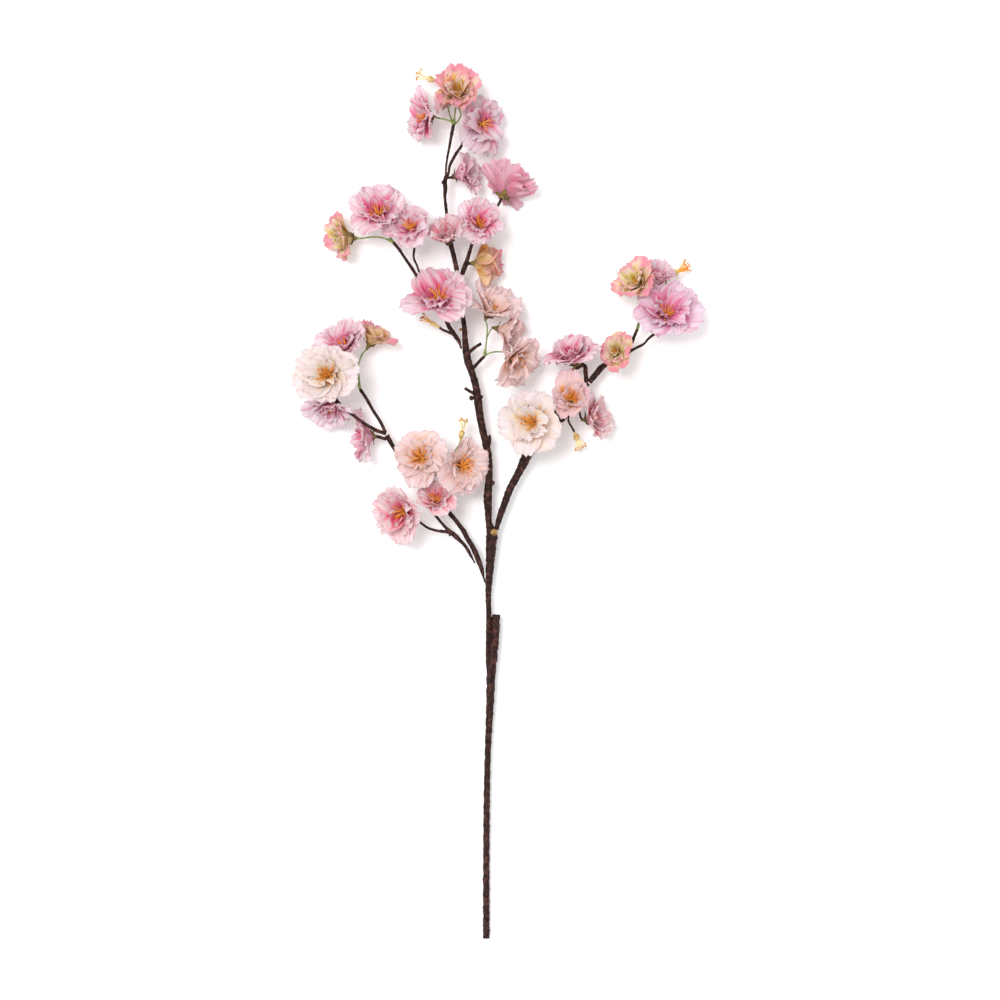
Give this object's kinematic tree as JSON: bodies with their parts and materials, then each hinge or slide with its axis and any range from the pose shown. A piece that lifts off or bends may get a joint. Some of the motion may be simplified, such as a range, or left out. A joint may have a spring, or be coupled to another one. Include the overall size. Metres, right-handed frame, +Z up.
{
  "type": "artificial cherry blossom spray",
  "caption": "Cut spray of double cherry blossom with a long twiggy stem, lying flat; a decorative stem for a vase or an arrangement.",
  "frame": {"origin": "middle of the spray's footprint, on the surface that it lies on", "axes": "+Y up the stem from the cut end to the top blossom, +X across the spray, +Z up from the surface"},
  "size_m": [0.3912, 0.8454, 0.0695],
  "materials": {
    "bark": "moulded, dark red-brown, with rough nodes and rubbed pale spots",
    "green_stalk": "moulded, olive green turning brown towards the twig",
    "petal_pink": "printed woven polyester, pale pink with a crimson throat and greyed edges",
    "petal_pale": "printed woven polyester, blush white with a peach throat",
    "petal_olive": "printed woven polyester, olive-gold base with pink tips",
    "stamen": "cream filaments with amber tips"
  },
  "bodies": {
    "root": {"lower_stem": "bark", "main_stem": "bark", "right_branch": "bark", "right_outer_branch": "bark", "right_upper_twig": "bark", "right_inner_twig": "bark", "right_outer_stalks": "bark", "far_right_twig": "green_stalk", "left_branch": "bark", "left_fork_twig": "bark", "left_inner_twig": "bark", "left_outer_twig": "bark", "left_side_stalk": "bark", "lower_left_stalks": "green_stalk", "upper_left_branch": "bark", "upper_left_twig": "bark", "upper_left_short_twig": "bark", "crown_left_twig": "bark", "crown_top_twig": "green_stalk", "crown_right_twig": "bark", "middle_twig": "green_stalk", "top_blossom_1": "petal_olive", "top_blossom_2": "petal_pale", "top_blossom_3": "petal_pink", "top_blossom_4": "petal_pink", "top_blossom_5": "petal_pink", "upper_right_blossom_1": "petal_pink", "upper_right_blossom_2": "petal_pink", "upper_right_blossom_3": "petal_olive", "upper_left_blossom_1": "petal_pink", "upper_left_blossom_2": "petal_olive", "upper_left_blossom_3": "petal_pale", "upper_left_blossom_4": "petal_pale", "upper_left_blossom_5": "petal_pink", "middle_blossom_1": "petal_pale", "middle_blossom_2": "petal_pale", "middle_blossom_3": "petal_pale", "left_blossom_1": "petal_pale", "left_blossom_2": "petal_pink", "left_blossom_3": "petal_pale", "left_blossom_4": "petal_olive", "left_blossom_5": "petal_pink", "lower_left_blossom_1": "petal_pale", "lower_left_blossom_2": "petal_pale", "lower_left_blossom_3": "petal_pink", "lower_left_blossom_4": "petal_pink", "right_blossom_1": "petal_pale", "right_blossom_2": "petal_pale", "right_blossom_3": "petal_pink", "right_blossom_4": "petal_pink", "far_right_blossom_1": "petal_olive", "far_right_blossom_2": "petal_pink", "far_right_blossom_3": "petal_olive", "far_right_blossom_4": "petal_pink", "top_tuft": "stamen", "upper_left_tuft": "stamen", "lower_left_tuft": "stamen", "right_tuft": "stamen", "far_right_tuft": "stamen"}
  },
  "joints": []
}
